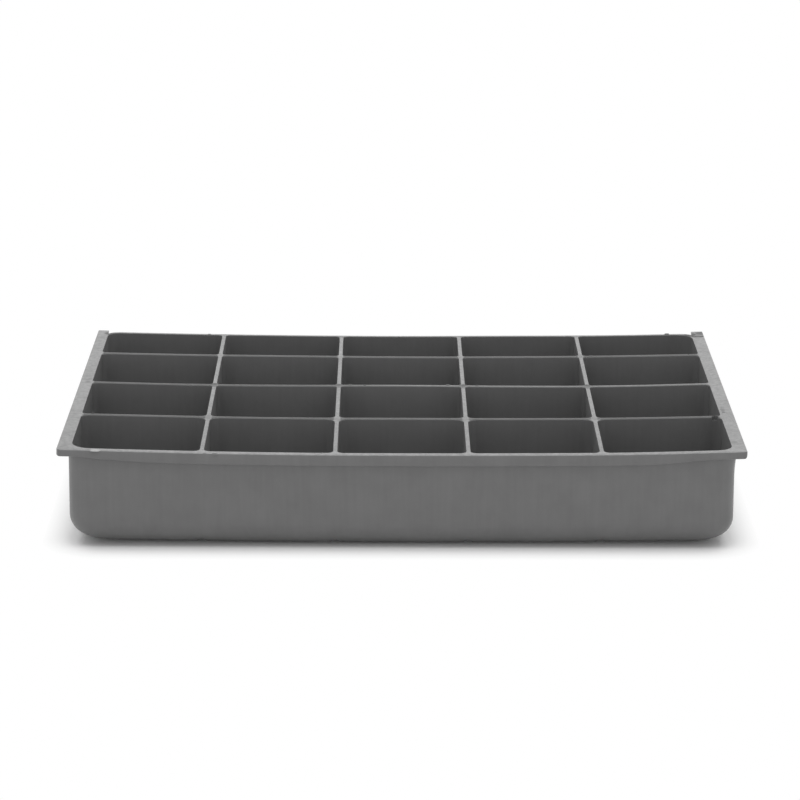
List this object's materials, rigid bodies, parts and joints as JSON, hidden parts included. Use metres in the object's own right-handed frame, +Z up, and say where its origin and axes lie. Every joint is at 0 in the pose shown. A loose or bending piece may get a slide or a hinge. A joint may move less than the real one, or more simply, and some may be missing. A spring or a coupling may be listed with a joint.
{
  "type": "compartment tray insert",
  "caption": "Shallow moulded drawer tray divided into open compartments, with a rolled lower edge and side flanges that hang on drawer rails.",
  "frame": {"origin": "on the underside, at the middle of the overall width and depth", "axes": "+X along the width, from the left flange to the right one; +Y from the front, which has the rim band, to the back; +Z up, out of the compartments"},
  "size_m": [0.335, 0.228, 0.05],
  "materials": {
    "grey_polypropylene": "satin moulded, fine texture"
  },
  "bodies": {
    "root": {"tub": "grey_polypropylene", "left_flange": "grey_polypropylene", "right_flange": "grey_polypropylene", "long_divider_1": "grey_polypropylene", "long_divider_2": "grey_polypropylene", "long_divider_3": "grey_polypropylene", "long_divider_4": "grey_polypropylene", "cross_wall_1_1": "grey_polypropylene", "cross_wall_1_2": "grey_polypropylene", "cross_wall_1_3": "grey_polypropylene", "cross_wall_1_4": "grey_polypropylene", "cross_wall_1_5": "grey_polypropylene", "cross_wall_2_1": "grey_polypropylene", "cross_wall_2_2": "grey_polypropylene", "cross_wall_2_3": "grey_polypropylene", "cross_wall_2_4": "grey_polypropylene", "cross_wall_2_5": "grey_polypropylene", "cross_wall_3_1": "grey_polypropylene", "cross_wall_3_2": "grey_polypropylene", "cross_wall_3_3": "grey_polypropylene", "cross_wall_3_4": "grey_polypropylene", "cross_wall_3_5": "grey_polypropylene"}
  },
  "joints": []
}
